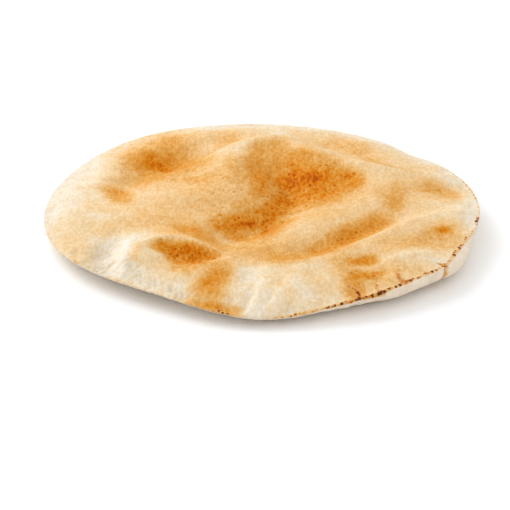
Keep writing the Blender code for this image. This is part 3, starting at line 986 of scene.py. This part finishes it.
def bake_marks(mesh, points, outward, angle, parts):
    """Keeps how browned, floury and toasted the bread is at each point, and the shade painted in
    its small creases and the highlight painted on its crests.
    """
    count, lip, rows, _ = parts
    x, y, z = points.T
    under = np.zeros(len(points))
    under[count + lip * rows :] = 1
    for i in range(rows):
        under[count + lip * i : count + lip * (i + 1)] = (i + 1) / (rows + 1)
    inside = seam_inside(x, y, angle)
    on_top = 1 - eased(under, 0.3, 0.7)
    pale = strongest(x, y, PALE)
    browned = strongest(x, y, BROWNED) * (1 - 0.9 * pale) + 0.03 * waves(x, y, 0.045, 61)
    tinge = np.exp(-((inside / 0.0022) ** 2)) * (0.05 + along_rim(angle, TOASTED))
    browned = np.maximum(browned, 0.65 * tinge * eased(-np.sin(angle), 0.3, 0.8))
    past_seam = eased(-inside, 0.0002, 0.0012) * eased(along_rim(angle, INBOARD), 0.0003, 0.0015)
    browned = browned * on_top * (1 - past_seam)
    spots = eased(waves(x, y, 0.050, 62) + 0.5 * waves(x, y, 0.017, 63), 0.7, 2.0)
    browned += (1 - on_top) * (0.05 + 0.35 * spots * (1 - eased(outward, 0.6, 0.85)))
    drop = under * np.maximum(edge_height(angle) - LIP / 2 - z, 0)
    wander = np.maximum(0.0004 + 0.0004 * rim_waves(angle, 0.011, 64), 0.0002)
    away = np.abs(inside - wander) + drop
    dark = along_rim(angle, TOASTED)
    toasted = np.exp(-((away / (0.0011 + 0.0003 * dark)) ** 1.8)) * (0.08 + dark)
    toasted *= 1 - 0.7 * np.maximum(past_seam, eased(under, 0.1, 0.7))
    cracked = on_top * strongest(x, y, SCORCHED)
    torn = np.clip(along_rim(angle, NICKS) / 0.0020, 0, 1) * eased(outward, 0.88, 0.96)
    torn = torn * np.maximum(past_seam, eased(drop + 0.001 * under, 0, 0.001))
    cracked = np.maximum(cracked, 0.30 * torn)
    puckered = on_top * eased(outward, 0.82, 0.97) * along_rim(angle, PUCKERED)
    # Painted shade in the small creases and grooves, and a weaker painted highlight on the crisp
    # crests, taken from the small relief.
    relief = on_top * np.clip(small_relief(x, y, outward, angle) / 0.001, -1, 1)
    relief = np.where(relief > 0, 0.4 * relief, relief)
    keep(mesh, "browned", browned)
    keep(mesh, "pale", pale * on_top)
    keep(mesh, "under", np.maximum(1 - on_top, past_seam))
    keep(mesh, "toasted", toasted)
    keep(mesh, "cracked", cracked)
    keep(mesh, "puckered", puckered)
    keep(mesh, "relief", relief)
    keep(mesh, "coarse", strongest(x, y, COARSE))
    rim_place = np.stack([RADIUS * np.cos(angle), RADIUS * np.sin(angle), inside], axis=-1)
    keep(mesh, "rim_place", rim_place)


# ---- Shader tools --------------------------------------------------------------------------


def paint(red, green, blue):
    """A colour from its values of 0 to 255, for a shader."""
    values = [part / 255 for part in (red, green, blue)]
    return (*(v / 12.92 if v <= 0.04045 else ((v + 0.055) / 1.055) ** 2.4 for v in values), 1)


class Value:
    """An output of a node. Arithmetic on it adds Math nodes."""

    def __init__(self, finish, socket):
        self.finish = finish
        self.socket = socket

    def math(self, operation, *values):
        return self.finish.add("ShaderNodeMath", {"operation": operation}, dict(enumerate(values)))

    def __add__(self, other):
        return self.math("ADD", self, other)

    def __radd__(self, other):
        return self.math("ADD", other, self)

    def __sub__(self, other):
        return self.math("SUBTRACT", self, other)

    def __rsub__(self, other):
        return self.math("SUBTRACT", other, self)

    def __mul__(self, other):
        return self.math("MULTIPLY", self, other)

    def __rmul__(self, other):
        return self.math("MULTIPLY", other, self)

    def __pow__(self, other):
        return self.math("POWER", self, other)


class Finish:
    """A material in the making."""

    def __init__(self, name):
        self.material = bpy.data.materials.new(name)
        self.material.use_nodes = True
        self.tree = self.material.node_tree
        self.shader = self.tree.nodes["Principled BSDF"]

    def add(self, kind, settings, inputs, output=0):
        """Adds a node: its settings first, then the values or links of its sockets."""
        node = self.tree.nodes.new(kind)
        for name, setting in settings.items():
            if name == "stops":
                self.set_stops(node.color_ramp, setting)
            else:
                setattr(node, name, setting)
        for name, value in inputs.items():
            self.feed(node.inputs[name], value)
        return Value(self, node.outputs[output])

    def feed(self, socket, value):
        if isinstance(value, Value):
            self.tree.links.new(value.socket, socket)
        else:
            socket.default_value = value

    @staticmethod
    def set_stops(ramp, stops):
        for spare in list(ramp.elements)[1:]:
            ramp.elements.remove(spare)
        ramp.elements[0].position, ramp.elements[0].color = stops[0]
        for position, colour in stops[1:]:
            ramp.elements.new(position).color = colour

    def mark(self, name, output="Fac"):
        return self.add("ShaderNodeAttribute", {"attribute_name": name}, {}, output)

    def place(self):
        return self.add("ShaderNodeTexCoord", {}, {}, "Object")

    def noise(self, place, size, detail=2.0, rough=0.5, bend=0.0, output="Fac"):
        """Cloudy noise of 0 to 1 whose clouds are about a size across, in metres."""
        inputs = {"Vector": place, "Scale": 1 / size, "Detail": detail}
        inputs |= {"Roughness": rough, "Distortion": bend}
        return self.add("ShaderNodeTexNoise", {}, inputs, output)

    def cells(self, place, size, output="Distance", feature="F1"):
        inputs = {"Vector": place, "Scale": 1 / size}
        return self.add("ShaderNodeTexVoronoi", {"feature": feature}, inputs, output)

    def between(self, value, low, high, start=0.0, end=1.0):
        """A smooth step from start at low to end at high."""
        inputs = {"Value": value, 1: low, 2: high, 3: start, 4: end}
        return self.add("ShaderNodeMapRange", {"interpolation_type": "SMOOTHSTEP"}, inputs)

    def mix(self, share, first, second, way="MIX"):
        """Two colours mixed."""
        settings = {"data_type": "RGBA", "blend_type": way, "clamp_factor": True}
        return self.add("ShaderNodeMix", settings, {0: share, 6: first, 7: second}, 2)

    def scaled(self, colour, share):
        inputs = {0: colour, "Scale": share}
        return self.add("ShaderNodeVectorMath", {"operation": "SCALE"}, inputs)

    def ramp(self, value, stops):
        return self.add("ShaderNodeValToRGB", {"stops": stops}, {"Fac": value})

    def bump(self, height, distance, below=None):
        inputs = {"Height": height, "Distance": distance}
        if below:
            inputs["Normal"] = below
        return self.add("ShaderNodeBump", {}, inputs)

    def stretched(self, place, scale):
        """A place with its axes scaled, so that a pattern runs one way."""
        settings = {"operation": "MULTIPLY"}
        return self.add("ShaderNodeVectorMath", settings, {0: place, 1: scale})

    def shifted(self, place, drift, reach):
        """A place moved about by a coloured noise, by up to half the reach, in metres."""
        inputs = {0: drift, 1: (reach, reach, reach), 2: place}
        return self.add("ShaderNodeVectorMath", {"operation": "MULTIPLY_ADD"}, inputs)


# ---- Finishes ------------------------------------------------------------------------------


def baked_dough():
    """Thin baked dough: cream, golden and brown, with freckles, flour and a toasted seam."""
    f = Finish("baked_dough")
    place = f.place()
    rim_place = f.mark("rim_place", "Vector")
    browned, pale, under = (f.mark(name) for name in ("browned", "pale", "under"))
    toasted, cracked = f.mark("toasted"), f.mark("cracked")
    puckered, relief, coarse = (f.mark(name) for name in ("puckered", "relief", "coarse"))

    # Heat: how far each spot is baked, from soft clouds down to fine grain.
    sandy = f.stretched(place, (1, 0.55, 0.55))
    clouds = f.noise(place, 0.022, 1.0, 0.5, 0.5) - 0.5
    mottle = f.noise(place, 0.0095, 1.0, 0.5, 0.4) - 0.5
    flecks = f.noise(sandy, 0.0040, 1.0, 0.5, 0.3) - 0.5
    grain = f.between(f.noise(sandy, 0.0016, 2.0, 0.6), 0.34, 0.66) - 0.5
    ripple = f.noise(f.stretched(rim_place, (1, 1, 0.25)), 0.0036, 1.0) - 0.5
    uneven = 0.10 + 0.34 * browned**4 * coarse
    heat = browned + (clouds * 1.6 + mottle * 1.4 + flecks * 1.4 + grain) * uneven
    spots = f.between(f.noise(sandy, 0.0034, 2.0, 0.6, 0.2), 0.58, 0.68)
    heat = heat + spots * 0.16 * f.between(browned, 0.25, 0.9)
    heat = heat + ripple * puckered * 0.25
    # Pits where small blisters caught the heat.
    wander = f.noise(place, 0.0030, 1.0, output="Color")
    pit = f.between(f.cells(f.shifted(place, wander, 0.0016), 0.0040), 0.10, 0.30, 1.0, 0.0)
    pit = pit * f.between(f.noise(place, 0.012, 1.0), 0.34, 0.56)
    pit = pit * f.between(coarse, 0.3, 1.0, 0.3, 1.15)
    heat = heat + pit * f.between(browned, 0.10, 0.80, 0.12, 0.36)

    crust = f.ramp(
        heat * 0.8 + 0.04,
        [
            (0.00, paint(220, 209, 190)),
            (0.08, paint(222, 204, 175)),
            (0.16, paint(223, 197, 156)),
            (0.28, paint(222, 186, 136)),
            (0.36, paint(220, 177, 118)),
            (0.44, paint(215, 165, 98)),
            (0.52, paint(210, 152, 74)),
            (0.62, paint(207, 138, 50)),
            (0.70, paint(205, 127, 28)),
            (0.76, paint(203, 118, 10)),
            (0.84, paint(196, 105, 0)),
            (0.92, paint(187, 94, 0)),
            (1.00, paint(174, 80, 0)),
        ],
    )
    tone = 0.995 - grain * 0.08 - flecks * 0.12 - mottle * 0.06 - ripple * puckered * 0.20
    # Painted shade darkens the crust in the small creases and a painted highlight lightens it on
    # the crests.
    tone = tone + relief * 0.14 - pit * 0.09
    crust = f.scaled(crust, tone)

    # Flour left on the skin, whose white on the arch flank and the back crest also paints a
    # highlight.
    dust = f.noise(place, 0.0034, 4.0, 0.7, 0.5)
    flour = f.between(dust + pale * 0.22, 0.56, 0.78) * (0.2 + 0.8 * pale)
    crust = f.mix(flour * (1 - heat) * 0.6, crust, paint(233, 223, 210))

    # The underside and the side below the seam are paler.
    soft = f.noise(place, 0.009, 4.0, 0.6, 0.4)
    bottom = f.ramp(soft, [(0.3, paint(225, 207, 184)), (0.7, paint(231, 217, 198))])
    bottom = f.mix(f.between(heat, 0.10, 0.60), bottom, paint(190, 128, 62))
    bottom = f.mix(flour * 0.8, bottom, paint(230, 221, 208))
    crust = f.mix(under, crust, f.scaled(bottom, 1.02 - grain * 0.05 - flecks * 0.10))

    # The seam is toasted, with dark crumbs along it.
    uneven_seam = f.noise(place, 0.0060, 2.0, 0.6) - 0.5
    crumbly = f.noise(place, 0.0026, 2.0, 0.6, 0.3) - 0.5
    along = f.shifted(f.stretched(rim_place, (1, 1, 0.65)), wander, 0.0014)
    bead = f.between(f.cells(along, 0.0021), 0.28, 0.52, 1.0, 0.0)
    bead = bead * f.between(toasted, 0.12, 0.45)
    toast = toasted * (0.24 + bead * 1.35 + uneven_seam * 1.1 + crumbly * 0.8)
    toast = toast + cracked * (0.9 + crumbly * 2.4)
    seam = f.ramp(
        toast,
        [
            (0.06, paint(224, 184, 128)),
            (0.26, paint(208, 146, 74)),
            (0.46, paint(184, 108, 34)),
            (0.66, paint(128, 58, 14)),
            (0.84, paint(72, 28, 6)),
        ],
    )
    scorch = f.between(toast, 0.04, 0.22)
    charred = f.between(toast, 0.50, 0.75)
    crust = f.mix(scorch * 0.92, crust, seam)

    pores = f.between(f.cells(place, 0.0014), 0.0, 0.30, 1.0, 0.0)
    pores = pores * f.between(f.noise(place, 0.012, 2.0), 0.45, 0.7)
    skin = f.noise(place, 0.0030, 5.0, 0.62, 0.2)
    bumps = f.bump(skin - pores * 0.35 + ripple * puckered * 1.2, 0.00035)
    bumps = f.bump(grain * 0.4 + charred * 0.8 - pit * 0.5, 0.00014, bumps)

    f.feed(f.shader.inputs["Base Color"], crust)
    f.feed(f.shader.inputs["Roughness"], 0.72 + flour * 0.15 + grain * 0.10 - scorch * 0.12)
    f.feed(f.shader.inputs["Normal"], bumps)
    f.shader.inputs["Metallic"].default_value = 0
    f.shader.inputs["Specular IOR Level"].default_value = 0.05
    return f.material


def pale_floor():
    """A plain matt white table top."""
    f = Finish("pale_floor")
    speckle = f.noise(f.place(), 0.004, 3.0)
    white = f.ramp(speckle, [(0, paint(249, 249, 249)), (1, paint(252, 252, 252))])
    f.feed(f.shader.inputs["Base Color"], white)
    f.feed(f.shader.inputs["Roughness"], 0.75 + speckle * 0.1)
    f.feed(f.shader.inputs["Normal"], f.bump(speckle, 0.00002))
    return f.material


# ---- The scene -----------------------------------------------------------------------------


def add_object(name, data):
    made = bpy.data.objects.new(name, data)
    bpy.context.scene.collection.objects.link(made)
    return made


def make_crust():
    points, faces, (outward, angle), parts = crust_mesh()
    mesh = bpy.data.meshes.new("pita_crust")
    mesh.from_pydata(fitted(points).tolist(), [], faces.tolist())
    lay_map(mesh, faces, outward, angle, parts)
    bake_marks(mesh, points, outward, angle, parts)
    mesh.shade_smooth()
    mesh.materials.append(baked_dough())
    crust = add_object("pita_crust", mesh)
    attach(crust, "root")
    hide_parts("pita_bread")


def make_floor():
    mesh = bpy.data.meshes.new("floor")
    mesh.from_pydata([(-8, -8, 0), (8, -8, 0), (8, 8, 0), (-8, 8, 0)], [], [(0, 1, 2, 3)])
    mesh.materials.append(pale_floor())
    floor = add_object("floor", mesh)
    floor.location.z = LOWEST.z


def turn_to(thing, place, aim):
    thing.location = place
    thing.rotation_mode = "QUATERNION"
    thing.rotation_quaternion = (Vector(aim) - Vector(place)).to_track_quat("-Z", "Y")


def add_light(name, place, size, power):
    light = bpy.data.lights.new(name, "AREA")
    light.energy = power
    light.size = size
    turn_to(add_object(name, light), place, (0, 0, 0))


def light_studio():
    """A soft window-like light from behind on the left, and white all round."""
    add_light("window", (-0.9, 0.8, 0.9), 1.3, 14)
    world = bpy.data.worlds.new("studio")
    world.use_nodes = True
    walls = world.node_tree.nodes["Background"]
    walls.inputs["Color"].default_value = (1, 1, 1, 1)
    walls.inputs["Strength"].default_value = 0.95
    bpy.context.scene.world = world
    bpy.context.scene.view_settings.view_transform = "Standard"


def add_camera():
    """From straight in front, looking down at 27 degrees."""
    data = bpy.data.cameras.new("camera")
    data.sensor_width = 36
    data.lens = 167.1
    aim = Vector((-0.0297, -0.2951, 0)) * RADIUS
    slope = math.radians(27)
    camera = add_object("camera", data)
    turn_to(camera, aim + Vector((0, -math.cos(slope), math.sin(slope))) * 1.3, aim)
    bpy.context.scene.camera = camera


make_crust()
make_floor()
light_studio()
add_camera()
